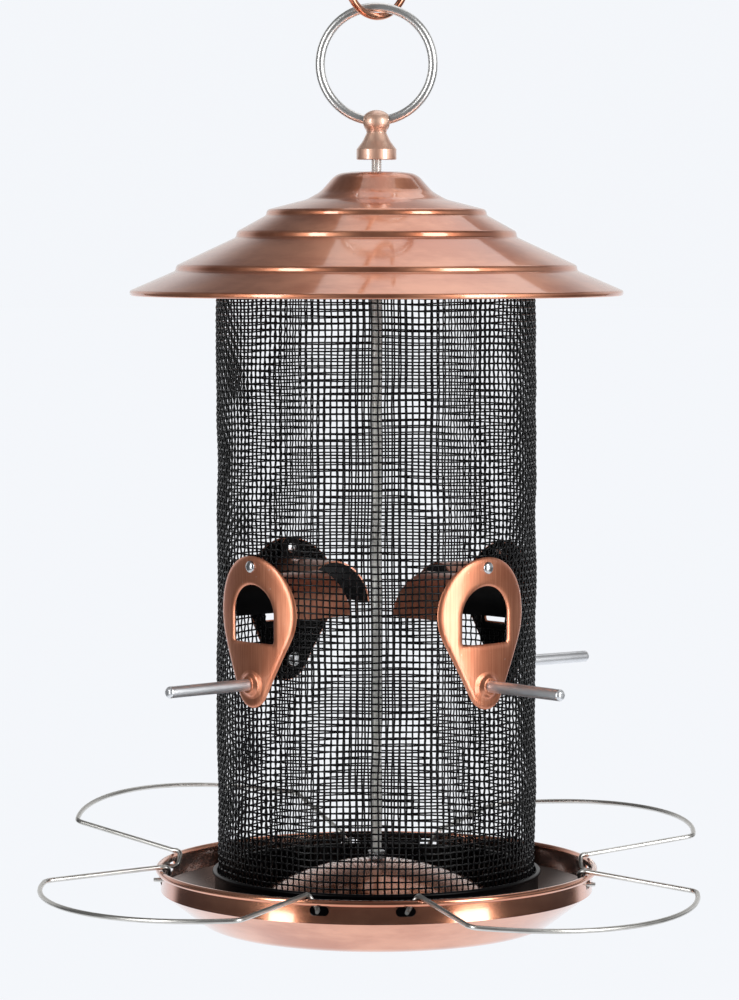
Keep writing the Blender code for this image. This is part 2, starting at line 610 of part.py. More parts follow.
def loop_points(rise):
    half = loop_half(rise)
    over = Vector((0, -(TRAY_WALL_RADIUS + RIM_CURL_RADIUS) * cos(RIM_CROSSING), ARM_HEIGHT))
    sweep = asin(LOOP_HALF_WIDTH / LOOP_ARC_RADIUS) * 180 / pi
    outer = []
    for x, y in arc((0, 0), LOOP_ARC_RADIUS, sweep - 90, -sweep - 90, 14)[1:-1]:
        outer.append(raised(Vector((x, y - loop_arc_centre(), ARM_HEIGHT)), over, rise))
    left = [Vector((-p.x, p.y, p.z)) for p in reversed(half)]
    corners = half + outer + left
    arm_bends = [WIRE_BEND, WIRE_BEND, WIRE_BEND, LOOP_CORNER_BEND]
    bends = arm_bends + [0.0] * len(outer) + arm_bends[::-1]
    path = [corners[0]]
    for i, bend in enumerate(bends, start=1):
        if bend:
            path += rounded(corners[i - 1:i + 2], [bend], 3)[1:-1]
        else:
            path.append(corners[i])
    path.append(corners[-1])
    return path


def loop_pivot():
    """Distance of the hinge line from the feeder's axis: it joins the loop's two wall holes."""
    return TRAY_WALL_RADIUS * cos(HOLE_BEARING)


def make_wire_perches():
    for i, rise in enumerate(LOOP_RISE):
        turn = 2 * pi * i / LOOP_COUNT
        pivot = Vector((0, -loop_pivot(), HOLE_HEIGHT))
        points = [p - pivot for p in loop_points(rise)]
        loop = wire(f"wire_perch_{i + 1}", points, WIRE_RADIUS, STEEL)
        loop.rotation_euler = (0, 0, turn)
        loop.location = Matrix.Rotation(turn, 3, "Z") @ pivot


BAND_RADIUS = TUBE_RADIUS + GAP + COLLAR_WALL
TUBE_TOP = min(roof_height_at(BAND_RADIUS) - SHEET * 1.15,
               roof_height_at(BAND_RADIUS + SHEET * 1.5)) - GAP

make_tray()
make_tube()
make_collars()
make_port_plates()
make_port_hoods()
make_port_rivets()
make_perches()
make_rod()
make_roof()
make_finial()
make_ring()
make_hook()
make_wire_perches()
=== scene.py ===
from math import asin, atan2, cos, degrees, hypot, pi, radians, sin, sqrt, tan

import bpy
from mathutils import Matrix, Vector


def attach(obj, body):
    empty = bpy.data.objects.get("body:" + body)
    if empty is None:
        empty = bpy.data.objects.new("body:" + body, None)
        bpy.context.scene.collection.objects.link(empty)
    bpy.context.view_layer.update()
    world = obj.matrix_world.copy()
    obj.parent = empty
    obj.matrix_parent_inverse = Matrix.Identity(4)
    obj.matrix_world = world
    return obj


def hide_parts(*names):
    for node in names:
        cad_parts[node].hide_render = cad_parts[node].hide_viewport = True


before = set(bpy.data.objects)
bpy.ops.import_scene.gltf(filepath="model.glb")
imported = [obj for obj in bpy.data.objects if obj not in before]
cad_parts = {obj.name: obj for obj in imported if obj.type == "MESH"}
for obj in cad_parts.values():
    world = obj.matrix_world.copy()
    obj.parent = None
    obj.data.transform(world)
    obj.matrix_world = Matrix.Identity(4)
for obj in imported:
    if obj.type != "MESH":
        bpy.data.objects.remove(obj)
bpy.ops.object.select_all(action="DESELECT")
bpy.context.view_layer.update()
mm = 0.001
ports = (1, 2, 3, 4)
# the tray's holes stand at quarter turns, and the two ports at the back a little short of theirs
quarter = pi / 2
portTurns = (0.0, radians(90.0), radians(173.5), radians(263.5))
print("frame loaded:", len(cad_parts), "nodes")


# ---------- finishes

def rgba(value):
    return (*value, 1.0) if isinstance(value, tuple) else value


class Sock:
    # one output of a node, with arithmetic on it
    def __init__(self, finish, socket):
        self.finish = finish
        self.socket = socket

    def calc(self, operation, first, second):
        return self.finish.node("ShaderNodeMath", {"operation": operation}, {0: first, 1: second})

    def __add__(self, other):
        return self.calc("ADD", self, other)

    def __radd__(self, other):
        return self.calc("ADD", other, self)

    def __sub__(self, other):
        return self.calc("SUBTRACT", self, other)

    def __rsub__(self, other):
        return self.calc("SUBTRACT", other, self)

    def __mul__(self, other):
        return self.calc("MULTIPLY", self, other)

    def __pow__(self, other):
        return self.calc("POWER", self, other)


class Finish:
    # one material: constants go on the shader, everything else comes through node()
    def __init__(self, name, **constants):
        self.material = bpy.data.materials.new(name)
        self.material.use_nodes = True
        self.tree = self.material.node_tree
        self.shader = self.tree.nodes["Principled BSDF"]
        for constant, value in constants.items():
            self.shader.inputs[constant.replace("_", " ")].default_value = rgba(value)
        self.place = self.node("ShaderNodeTexCoord", {}, {}, "Object")
        self.x = self.node("ShaderNodeSeparateXYZ", {}, {0: self.place}, "X")
        self.y, self.z = (Sock(self, self.x.socket.node.outputs[axis]) for axis in "YZ")

    def node(self, kind, settings, values, out=0):
        made = self.tree.nodes.new(kind)
        for name, value in settings.items():
            setattr(made, name, value)
        for key, value in values.items():
            if isinstance(value, Sock):
                self.tree.links.new(value.socket, made.inputs[key])
            else:
                made.inputs[key].default_value = value
        return Sock(self, made.outputs[out])

    def noise(self, vector, scale, detail, roughness):
        values = {"Vector": vector, "Scale": scale, "Detail": detail, "Roughness": roughness}
        return self.node("ShaderNodeTexNoise", {}, values, "Fac")

    def vector(self, x, y, z):
        return self.node("ShaderNodeCombineXYZ", {}, {0: x, 1: y, 2: z})

    def outward(self):
        # the distance from Z
        return (self.x * self.x + self.y * self.y) ** 0.5

    def turn(self):
        # the angle about Z
        return self.x.calc("ARCTAN2", self.y, self.x)

    def between(self, value, low, high):
        # 0 below low, 1 above high, smooth between
        return self.node("ShaderNodeMapRange", {"interpolation_type": "SMOOTHSTEP"},
                         {"Value": value, "From Min": low, "From Max": high}, "Result")

    def blend(self, mask, first, second):
        return self.node("ShaderNodeMix", {"data_type": "RGBA"},
                         {0: mask, 6: rgba(first), 7: rgba(second)}, 2)

    def feed(self, name, value):
        self.tree.links.new(value.socket, self.shader.inputs[name])

    def bump(self, height, strength, distance):
        values = {"Height": height, "Strength": strength, "Distance": distance}
        self.feed("Normal", self.node("ShaderNodeBump", {}, values, "Normal"))


copperTone = {"bright": (0.84, 0.36, 0.21), "deep": (0.60, 0.20, 0.10), "tarnish": (0.36, 0.13, 0.07)}
# painted shade: a darker copper for the trough's inner faces, where the inside mirrors the dark tube
# and room
troughShadeTone = {"bright": (0.22, 0.12, 0.09), "deep": (0.13, 0.065, 0.045), "tarnish": (0.08, 0.04, 0.03)}
finialTone = {"bright": (0.98, 0.68, 0.53), "deep": (0.94, 0.56, 0.41), "tarnish": (0.50, 0.24, 0.15)}


def spunCopper(name, tone, roughness, lines=1500.0, lineDepth=0.00001, streak=0.0):
    # turned on a lathe: fine rings about Z, a few cloudy tarnish spots, clear lacquer
    finish = Finish(name, Metallic=1.0, Coat_Weight=1.0, Coat_Roughness=0.07, Coat_IOR=1.75,
                    Anisotropic=streak, Anisotropic_Rotation=0.25)
    radius, turn = finish.outward(), finish.turn()
    fine = finish.vector(radius * lines, finish.z * lines, turn * 0.8)
    wide = finish.vector(radius * 60.0, finish.z * 60.0, turn * 2.2)
    rings = finish.noise(fine, scale=1.0, detail=2.0, roughness=0.6)
    broad = finish.noise(wide, scale=1.0, detail=4.0, roughness=0.6)
    cloud = finish.noise(finish.place, scale=22.0, detail=4.0, roughness=0.55)
    specks = finish.noise(finish.place, scale=95.0, detail=5.0, roughness=0.65)
    shade = finish.between(broad * 0.5 + cloud * 0.5, low=0.38, high=0.62)
    spots = finish.between(specks, low=0.66, high=0.78)
    metal = finish.blend(shade, tone["deep"], tone["bright"])
    finish.feed("Base Color", finish.blend(spots * 0.35, metal, tone["tarnish"]))
    uneven = (rings - 0.5) * 0.06 + (cloud - 0.5) * 0.16 + (broad - 0.5) * 0.12 + spots * 0.06
    finish.feed("Roughness", roughness + uneven)
    finish.bump(rings, strength=0.35, distance=lineDepth)
    return finish.material


def brushedCopper(name, tones, roughness):
    # pressed sheet, brushed upright before it was formed
    finish = Finish(name, Metallic=1.0, Coat_Weight=0.6, Coat_Roughness=0.08, Coat_IOR=1.5)
    upright = finish.vector(finish.turn() * 90.0, finish.z * 30.0, 0.0)
    strokes = finish.noise(upright, scale=1.0, detail=3.0, roughness=0.6)
    cloud = finish.noise(finish.place, scale=45.0, detail=3.0, roughness=0.5)
    fine = finish.noise(finish.place, scale=420.0, detail=2.0, roughness=0.5)
    metal = finish.blend(finish.between(strokes * 0.6 + cloud * 0.4, low=0.36, high=0.64), *tones)
    specks = finish.between(fine, low=0.70, high=0.78)
    finish.feed("Base Color", finish.blend(specks * 0.5, metal, (0.95, 0.72, 0.60)))
    finish.feed("Roughness", roughness + (strokes - 0.5) * 0.08 + (cloud - 0.5) * 0.06)
    finish.bump(strokes, strength=0.2, distance=0.000008)
    return finish.material


def blackPaint(name, roughness, grainDepth, shine):
    finish = Finish(name, Specular_IOR_Level=shine)
    grain = finish.noise(finish.place, scale=300.0, detail=3.0, roughness=0.6)
    cloud = finish.noise(finish.place, scale=60.0, detail=2.0, roughness=0.5)
    finish.feed("Base Color", finish.blend(cloud, (0.0015, 0.0015, 0.002), (0.004, 0.004, 0.005)))
    finish.feed("Roughness", roughness + (cloud - 0.5) * 0.08 + (grain - 0.5) * 0.05)
    finish.bump(grain, strength=0.4, distance=grainDepth)
    return finish.material


def plainMetal(name, tones, roughness, grain=60.0, variation=0.04, depth=0.0000002, metallic=1.0):
    # plated or drawn metal
    finish = Finish(name, Metallic=metallic)
    marks = finish.noise(finish.place, scale=grain, detail=3.0, roughness=0.6)
    cloud = finish.noise(finish.place, scale=70.0, detail=3.0, roughness=0.5)
    shade = finish.between(marks * 0.5 + cloud * 0.5, low=0.35, high=0.65)
    finish.feed("Base Color", finish.blend(shade, *tones))
    finish.feed("Roughness", roughness + (marks - 0.5) * variation + (cloud - 0.5) * variation)
    finish.bump(marks, strength=0.3, distance=depth)
    return finish.material


roofCopper = spunCopper("roofCopper", copperTone, 0.37, streak=0.1)
trayCopper = spunCopper("trayCopper", copperTone, 0.19, lineDepth=0.000008, streak=0.1)
# painted shade on the trough's inner faces
troughShadeCopper = spunCopper("troughShadeCopper", troughShadeTone, 0.24)
finialCopper = spunCopper("finialCopper", finialTone, 0.52, lines=2600.0)
plateCopper = brushedCopper("plateCopper", ((0.70, 0.24, 0.13), (0.86, 0.37, 0.22)), 0.40)
hoodCopper = brushedCopper("hoodCopper", ((0.60, 0.24, 0.15), (0.78, 0.35, 0.23)), 0.40)
hookCopper = brushedCopper("hookCopper", (copperTone["deep"], (0.84, 0.47, 0.32)), 0.22)
# painted shade: near-black inner faces of the plates and hoods, standing in for the shadow inside the
# tube
paintedShadeBack = blackPaint("paintedShadeBack", 0.5, grainDepth=0.00001, shine=0.15)
blackWire = blackPaint("blackWire", 0.20, grainDepth=0.0000005, shine=0.18)
blackEnamel = blackPaint("blackEnamel", 0.30, grainDepth=0.000002, shine=0.12)
ringSteel = plainMetal("ringSteel", ((0.88, 0.89, 0.88), (0.95, 0.95, 0.94)), 0.36, depth=0.0000005)
wireSteel = plainMetal("wireSteel", ((0.60, 0.59, 0.56), (0.76, 0.75, 0.72)), 0.34)
rodSteel = plainMetal("rodSteel", ((0.90, 0.90, 0.87), (0.98, 0.98, 0.96)), 0.34,
                      grain=300.0, variation=0.08, depth=0.000004, metallic=0.6)
zincPlate = plainMetal("zincPlate", ((0.62, 0.64, 0.66), (0.80, 0.82, 0.84)), 0.26,
                       grain=500.0, variation=0.08, depth=0.000004)
perchAluminium = plainMetal("perchAluminium", ((0.80, 0.82, 0.85), (0.88, 0.90, 0.93)), 0.36,
                            metallic=0.85)
print("finishes made")


# ---------- modelling helpers

def selectAll():
    bpy.ops.mesh.select_all(action="SELECT")


def editMode(everything=True):
    bpy.ops.object.mode_set(mode="EDIT")
    bpy.ops.mesh.select_mode(type="VERT")
    if everything:
        selectAll()


def objectMode():
    bpy.ops.object.mode_set(mode="OBJECT")


def weld(threshold=1e-6):
    # merges points that coincide, and leaves everything selected
    bpy.ops.mesh.remove_doubles(threshold=threshold)
    selectAll()


def turnOutward():
    selectAll()
    bpy.ops.mesh.normals_make_consistent(inside=False)
    objectMode()


def flipFaces():
    editMode()
    bpy.ops.mesh.flip_normals()
    objectMode()


def only(piece):
    bpy.ops.object.select_all(action="DESELECT")
    piece.select_set(True)
    bpy.context.view_layer.objects.active = piece


def settle(piece):
    # bakes the object's place into its mesh
    only(piece)
    bpy.ops.object.transform_apply(location=True, rotation=True, scale=True)
    return piece


def pickVerts(piece, test):
    # selects by place, from object mode
    for face in piece.data.polygons:
        face.select = False
    for edge in piece.data.edges:
        edge.select = False
    for vert in piece.data.vertices:
        vert.select = test(vert.co)


def traceLine(name, points):
    # a bare line of edges, grown from one vertex
    bpy.ops.mesh.primitive_plane_add(size=mm, location=(0, 0, 0))
    piece = named(bpy.context.object, name)
    editMode()
    bpy.ops.mesh.merge(type="CENTER")
    bpy.ops.transform.translate(value=points[0])
    here = Vector(points[0])
    for point in points[1:]:
        bpy.ops.mesh.extrude_vertices_move(TRANSFORM_OT_translate={"value": Vector(point) - here})
        here = Vector(point)
    objectMode()
    return piece


def useModifier(piece, kind, **settings):
    only(piece)
    added = piece.modifiers.new(kind.title(), kind)
    for name, value in settings.items():
        setattr(added, name, value)
    bpy.ops.object.modifier_apply(modifier=added.name)
    return piece


def cut(piece, tool, operation="DIFFERENCE"):
    useModifier(piece, "BOOLEAN", object=tool, operation=operation, solver="EXACT")
    bpy.data.objects.remove(tool, do_unlink=True)


def smooth(piece, angle):
    only(piece)
    bpy.ops.object.shade_smooth_by_angle(angle=radians(angle))
    return piece


def paint(piece, *materials):
    piece.data.materials.clear()
    for material in materials:
        piece.data.materials.append(material)
    return piece


def named(piece, name):
    piece.name = piece.data.name = name
    return piece


def joined(*pieces):
    only(pieces[0])
    for other in pieces[1:]:
        other.select_set(True)
    bpy.ops.object.join()
    return bpy.context.object


def copyOf(piece, name, turn, lift=0.0):
    # a copy with its own mesh, turned about the feeder's axis
    only(piece)
    bpy.ops.object.duplicate()
    other = named(bpy.context.object, name)
    other.rotation_euler.z = turn
    other.location.z = lift
    return settle(other)


def finished(piece, body, slotName, *replaced):
    settle(piece)
    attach(piece, body)
    if replaced:
        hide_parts(*replaced)


def arcPoints(centre, radius, start, end, count):
    turns = [radians(start + (end - start) * i / count) for i in range(count + 1)]
    return [(centre[0] + radius * cos(t), centre[1] + radius * sin(t)) for t in turns]


def rounded(corners, bends, steps):
    # the path through the corners with each inner one rounded to its bend radius
    corners = [Vector(c) for c in corners]
    path = [corners[0]]
    for before, corner, after, bend in zip(corners, corners[1:], corners[2:], bends):
        back, ahead = (before - corner).normalized(), (after - corner).normalized()
        if bend <= 0 or back.angle(ahead) > radians(179):
            path.append(corner)
            continue
        half = back.angle(ahead) / 2
        middle = corner + (back + ahead).normalized() * (bend / sin(half))
        first = (corner + back * bend / tan(half) - middle).normalized()
        last = (corner + ahead * bend / tan(half) - middle).normalized()
        sweep = first.angle(last)
        for i in range(steps + 1):
            t = i / steps
            mix = (first * sin((1 - t) * sweep) + last * sin(t * sweep)) / sin(sweep)
            path.append(middle + mix * bend)
    path.append(corners[-1])
    return path


def sheetOutline(line, thickness):
    # a closed outline: the outer line, and back along the sheet's inner side, to its right
    inner = []
    for i, point in enumerate(line):
        ahead = line[min(i + 1, len(line) - 1)] - line[max(i - 1, 0)]
        ahead = ahead.normalized()
        inner.append(point + Vector((ahead.y, -ahead.x)) * thickness)
    return [*line, *reversed(inner)]


# how near to the axis, in mm, the outline of a solid piece ends
nearAxis = 0.01


def spun(name, outline, steps, height=None):
    # spins a closed outline of (radius, along) points in mm about Z, or about the line along -Y
    # at this height
    if height is None:
        height, axis = 0.0, (0, 0, 1)
        points = [(p[0] * mm, 0.0, p[1] * mm) for p in outline]
    else:
        height, axis = height * mm, (0, 1, 0)
        points = [(p[0] * mm, -p[1] * mm, height) for p in outline]
    piece = traceLine(name, [*points, points[0]])
    editMode()
    weld()
    bpy.ops.mesh.spin(steps=steps, angle=2 * pi, center=(0, 0, height), axis=axis)
    selectAll()
    weld(2e-6)
    turnOutward()
    return piece


def wire(name, points, radius, sides, ring=False, tips=()):
    # a round wire along the points; tips are the radius shares of its last few points, end first
    piece = traceLine(name, [*points, points[0]] if ring else points)
    if ring:
        editMode()
        weld()
        objectMode()
    only(piece)
    bpy.ops.object.convert(target="CURVE")
    piece = bpy.context.object
    piece.name = name
    curve = piece.data
    curve.bevel_depth = radius
    curve.bevel_resolution = sides // 2 - 2
    curve.use_fill_caps = not ring
    spline = curve.splines[0]
    for i, share in enumerate(tips):
        spline.points[i].radius = share
        spline.points[len(spline.points) - 1 - i].radius = share
    bpy.ops.object.convert(target="MESH")
    piece = bpy.context.object
    piece.data.name = name
    editMode()
    turnOutward()
    return piece


# ---------- roof

roof = {"top": 359.6, "hole": 2.85, "sheet": 0.8, "steps": 192,
        "crown": ((12.0, 0.0, 5.0), (19.0, 0.9, 9.0), (26.6, 9.4, 12.0), (33.0, 13.0, 14.0)),
        "treads": ((52.0, 17.9, 20.6), (66.3, 28.2, 31.0), (95.0, 44.2, 46.8)),
        "lean": 0.5, "treadBends": [2.2, 1.6],
        "rim": ((117.2, 56.2), (117.0, 58.8), (114.6, 58.3)), "rimBends": [1.3, 0.95]}


def makeRoof():
    corners = [(roof["hole"], 0.0)]
    bends = []
    for radius, fall, bend in roof["crown"]:
        corners.append((radius, -fall))
        bends.append(bend)
    for radius, lip, foot in roof["treads"]:
        corners += [(radius, -lip), (radius + roof["lean"], -foot)]
        bends += roof["treadBends"]
    corners += [(radius, -fall) for radius, fall in roof["rim"]]
    line = rounded(corners, bends + roof["rimBends"], steps=7)
    outline = [(p[0], p[1] + roof["top"]) for p in sheetOutline(line, roof["sheet"])]
    piece = spun("steppedRoof", outline, roof["steps"])
    finished(paint(smooth(piece, 40), roofCopper), "roof", "copper", "roof")


makeRoof()
print("roof done")


# ---------- tray

tray = {"sheet": 0.8, "steps": 192, "wallRadius": 103.2, "wallFoot": 17.5, "rim": 27.0, "curl": 1.55,
        "chamfer": (95.5, 11.9), "bottom": 81.0, "bends": [0, 3.0, 14.0, 7.0],
        "domeFoot": 71.0, "domeRise": 31.0, "shoulder": 0.80, "shoulderFall": 0.56,
        "domeShares": (0.72, 0.64, 0.56, 0.48, 0.40, 0.32, 0.24, 0.16, 0.08), "hole": 2.85,
        "holeBearing": 34.0, "holeHeight": 23.1, "holeHalfWidth": 4.6, "holeHalfRise": 2.3,
        "cutterLength": 9, "facingUp": 0.3, "facingIn": 0.2}


def slotTool(port, side):
    # a cylinder stretched sideways, set where a wire perch goes through the wall
    bpy.ops.mesh.primitive_cylinder_add(vertices=32, radius=tray["holeHalfRise"] * mm,
                                        depth=tray["cutterLength"] * mm, rotation=(pi / 2, 0, 0))
    tool = settle(bpy.context.object)
    stretch = (tray["holeHalfWidth"] - tray["holeHalfRise"]) * mm
    for direction in (-1, 1):
        pickVerts(tool, lambda co: co.x * direction > 0.01 * mm)
        editMode(everything=False)
        bpy.ops.transform.translate(value=(direction * stretch, 0, 0))
        objectMode()
    tool.location = (0, -tray["wallRadius"] * mm, tray["holeHeight"] * mm)
    settle(tool)
    tool.rotation_euler.z = (port - 1) * quarter + radians(side * tray["holeBearing"])
    return settle(tool)


def inTrough(face):
    # whether the face is one of the trough's inner ones, which take the painted shade: a darker copper
    # standing in for the dark that the trough's inside mirrors
    out = Vector((face.center.x, face.center.y, 0))
    inward = (face.normal.z > tray["facingUp"]
              or face.normal.dot(out) < -tray["facingIn"] * out.length)
    return (inward and tray["domeFoot"] * mm < out.length < tray["wallRadius"] * mm
            and face.center.z < tray["rim"] * mm)


def makeTray():
    sheet = tray["sheet"]
    wall = tray["wallRadius"] - sheet / 2
    foot, crown = tray["domeFoot"], tray["domeRise"]
    curl = arcPoints((wall + tray["curl"], tray["rim"]), tray["curl"], -70, 180, 12)
    fall = crown * tray["shoulderFall"] / (foot * tray["shoulder"]) ** 2
    floorLine = rounded([(wall, tray["rim"]), (wall, tray["wallFoot"]), tray["chamfer"],
                         (tray["bottom"], sheet), (foot, sheet),
                         (foot * tray["shoulder"], crown - fall * (foot * tray["shoulder"]) ** 2)],
                        tray["bends"], steps=7)[1:]
    dome = [Vector((foot * s, crown - fall * (foot * s) ** 2)) for s in tray["domeShares"]]
    line = [Vector(p) for p in curl] + floorLine + dome + [Vector((tray["hole"], crown))]
    piece = spun("seedTray", sheetOutline(line, -sheet), tray["steps"])
    for port in ports:
        for side in (-1, 1):
            cut(piece, slotTool(port, side))
    # the trough's inner faces get the second material, a painted shade
    paint(smooth(piece, 40), trayCopper, troughShadeCopper)
    for face in filter(inTrough, piece.data.polygons):
        face.material_index = 1
    finished(piece, "feeder", "copper", "tray")


makeTray()
print("tray done")


# ---------- woven tube and its bands

meshTube = {"radius": 75.5, "bottom": 3.4, "top": 321.2, "pitch": 3.175, "wire": 0.43, "sway": 0.31,
            "uprights": 150, "sides": 6, "wander": 1.6, "wanderScale": 0.032,
            "windowHalf": 14.9, "windowBottom": 139.8, "windowHeight": 28.6}


def inWindow(co):
    # inside the opening behind any of the four plates
    bearing = atan2(co.x, -co.y)
    offsets = [(bearing - turn + pi) % (2 * pi) - pi for turn in portTurns]
    across = meshTube["radius"] * mm * sin(min(offsets, key=abs))
    half = meshTube["windowHalf"] * mm
    low = meshTube["windowBottom"] * mm
    spring = low + meshTube["windowHeight"] * mm - half
    if co.z < low or abs(across) > half:
        return False
    return co.z < spring or hypot(across, co.z - spring) < half


def finishMesh(piece):
    # lets the wires wander a little, and opens the cloth behind the plates
    texture = bpy.data.textures.new(piece.name + "Wander", "CLOUDS")
    texture.noise_scale = meshTube["wanderScale"]
    texture.cloud_type = "COLOR"
    texture.noise_depth = 1
    useModifier(piece, "DISPLACE", texture=texture, strength=meshTube["wander"] * mm,
                direction="RGB_TO_XYZ", mid_level=0.5)
    pickVerts(piece, inWindow)
    editMode(everything=False)
    bpy.ops.mesh.delete(type="VERT")
    selectAll()
    bpy.ops.mesh.fill_holes(sides=8)
    objectMode()
    return paint(smooth(piece, 80), blackWire)


def makeMesh():
    pitch, sway, middle = (meshTube[size] * mm for size in ("pitch", "sway", "radius"))
    low, count = meshTube["bottom"] * mm, meshTube["uprights"]
    radius, sides = meshTube["wire"] * mm, meshTube["sides"]
    rows = int((meshTube["top"] - meshTube["bottom"]) / meshTube["pitch"])
    step = 2 * pi / count
    uprights, hoops = [], []
    for phase in (0, 1):
        points = [(middle + sway * (-1) ** (row + phase), 0, low + row * pitch)
                  for row in range(rows + 1)]
        strand = wire(f"upright{phase}", points, radius, sides)
        strand.rotation_euler.z = phase * step
        uprights.append(settle(strand))
        points = []
        for i in range(count):
            reach = middle - sway * (-1) ** (i + phase)
            points.append((reach * cos(i * step), reach * sin(i * step), low + phase * pitch))
        hoops.append(wire(f"hoop{phase}", points, radius, sides, ring=True))

    piece = named(joined(*uprights), "meshUprights")
    bpy.ops.object.empty_add(location=(0, 0, 0), rotation=(0, 0, 2 * step))
    pivot = bpy.context.object
    useModifier(piece, "ARRAY", count=count // 2, use_relative_offset=False, use_object_offset=True,
                offset_object=pivot)
    bpy.data.objects.remove(pivot, do_unlink=True)
    finished(finishMesh(piece), "feeder", "black_mesh", "tube_mesh")

    piece = named(joined(*hoops), "meshHoops")
    useModifier(piece, "ARRAY", count=(rows + 1) // 2, use_relative_offset=False,
                use_constant_offset=True, constant_offset_displace=(0, 0, 2 * pitch))
    finished(finishMesh(piece), "feeder", "black_mesh")


makeMesh()
print("mesh woven")


bands = {"inside": 76.5, "wall": 1.0, "bead": 1.1, "edge": 0.3, "steps": 160}


def makeBand(name, low, high, beadTop, node):
    # a plain band with a rolled bead along one edge
    inside, bead = bands["inside"], bands["bead"]
    outside = inside + bands["wall"]
    beadZ = high - bead if beadTop else low + bead
    swell = arcPoints((inside + bead, beadZ), bead, -60, 120, 8)
    if beadTop:
        outline = [(inside, low), (outside, low), (outside, beadZ - bead), *swell,
                   (inside, high - bands["edge"])]
    else:
        outline = [(outside, high), (inside, high), (inside, low + bands["edge"])]
        outline += [(p[0], 2 * beadZ - p[1]) for p in reversed(swell)] + [(outside, beadZ + bead)]
    piece = spun(name, outline, bands["steps"])
    finished(paint(smooth(piece, 40), blackEnamel), "feeder", "black_enamel", node)


makeBand("baseCollar", low=1.1, high=26.8, beadTop=True, node="base_collar")
makeBand("topCollar", low=311.8, high=321.8, beadTop=False, node="top_band")
print("bands done")


# ---------- ports: plate, hood, rivet, perch and nut, one of each, then three copies

plate = {"radius": 77.1, "sheet": 0.8, "top": 181.0, "bottom": 110.0, "half": 26.6, "toe": 11.0,
         "windowHalf": 14.1, "windowBottom": 140.6, "windowHeight": 27.0, "windowBend": 1.0,
         "points": 72, "slice": 1.6, "steps": ((0.35, 0.35), (0.55, 0.30), (0.8, 0.20), (1.2, 0.10)),
         "padPlace": 121.0, "padHeight": 2.1, "padTop": 3.968, "padShoulder": 5.504, "padFoot": 8.0,
         "padWaist": 0.4, "padSink": 0.35, "padBends": [1.0, 2.2, 0.0]}


def evenly(loop, count):
    # points spaced evenly by length round a closed loop, from its first
    loop = [Vector(p) for p in loop]
    total, marks = 0.0, [0.0]
    for here, there in zip(loop, loop[1:] + loop[:1]):
        total += (there - here).length
        marks.append(total)
    found = []
    for i in range(count):
        want = total * i / count
        k = max(j for j in range(len(loop)) if marks[j] <= want)
        share = (want - marks[k]) / max(marks[k + 1] - marks[k], 1e-12)
        found.append(loop[k].lerp(loop[(k + 1) % len(loop)], share))
    return found


def eggLoop():
    upper, lower = plate["top"] - plate["half"], plate["bottom"] + plate["toe"]
    slope = degrees(asin((plate["half"] - plate["toe"]) / (upper - lower)))
    return (arcPoints((0, upper), plate["half"], 90, -slope, 24)
            + arcPoints((0, lower), plate["toe"], -slope, -180 + slope, 24)
            + arcPoints((0, upper), plate["half"], 180 + slope, 90, 24)[:-1])


def windowLoop():
    half, foot = plate["windowHalf"], plate["windowBottom"]
    spring = foot + plate["windowHeight"] - half
    corner = rounded([(half, spring), (half, foot), (0, foot)], [plate["windowBend"]], steps=4)[1:]
    right = [tuple(p) for p in corner]
    left = [(-x, z) for x, z in reversed(right)]
    return (arcPoints((0, spring), half, 90, 0, 16) + right + left[1:]
            + arcPoints((0, spring), half, 180, 90, 16)[:-1])


def flatLine(name, loop, radius):
    # a closed line at y = 0, with x as the length along the bend that comes later
    points = [(radius * asin(p[0] / radius) * mm, 0.0, p[1] * mm) for p in loop]
    return traceLine(name, [*points, points[0]])


def bendRound(piece, radius):
    # wraps a flat piece at y = 0 on to a cylinder about Z that passes through y = -radius
    width = max(v.co.x for v in piece.data.vertices) - min(v.co.x for v in piece.data.vertices)
    cuts = int(width / (plate["slice"] * mm))
    editMode()
    for i in range(1, cuts):
        selectAll()
        bpy.ops.mesh.bisect(plane_co=(-width / 2 + width * i / cuts, 0, 0), plane_no=(1, 0, 0))
    objectMode()
    useModifier(piece, "SIMPLE_DEFORM", deform_method="BEND", deform_axis="Z",
                angle=width / (radius * mm))
    piece.location.y = -radius * mm
    settle(piece)


def thicken(piece, sheet, **settings):
    # gives the sheet its thickness on the inner side, with the second material there, which for the
    # plates and hoods is a near-black painted shade
    useModifier(piece, "SOLIDIFY", thickness=sheet * mm, offset=-1.0, material_offset=1, **settings)


def makePlate():
    outer = flatLine("portPlate", evenly(eggLoop(), plate["points"]), plate["radius"])
    inner = flatLine("plateWindow", evenly(windowLoop(), plate["points"]), plate["radius"])
    piece = joined(outer, inner)
    editMode()
    weld()
    bpy.ops.mesh.bridge_edge_loops()
    objectMode()
    if sum(face.normal.y for face in piece.data.polygons) > 0:
        flipFaces()
    editMode()
    bpy.ops.mesh.select_mode(type="FACE")
    for thickness, depth in plate["steps"]:
        bpy.ops.mesh.inset(thickness=thickness * mm, depth=depth * mm, use_boundary=True,
                           use_even_offset=True)
    objectMode()
    paint(piece, plateCopper, paintedShadeBack)
    thicken(piece, plate["sheet"], use_even_offset=True)
    bendRound(piece, plate["radius"])
    face = plate["radius"] + sum(depth for thickness, depth in plate["steps"])
    top, under = face + plate["padHeight"], face - plate["padSink"]
    outline = rounded([(nearAxis, top), (plate["padTop"], top),
                       (plate["padShoulder"], face + plate["padWaist"]),
                       (plate["padFoot"], under), (nearAxis, under)], plate["padBends"], steps=6)
    pad = paint(spun("perchPad", outline, steps=40, height=plate["padPlace"]), plateCopper)
    return named(joined(smooth(piece, 40), smooth(pad, 40)), "portPlate1")


hood = {"radius": 17.5, "sheet": 0.8, "centre": 154.4, "skirt": 3.0, "inner": 31.0, "slope": 0.27,
        "from": 20.0, "depth": 62.0, "wall": 74.5, "tabHalf": 5.5, "tabTop": 181.5, "tabLap": 1.2,
        "cutterHeight": 90}


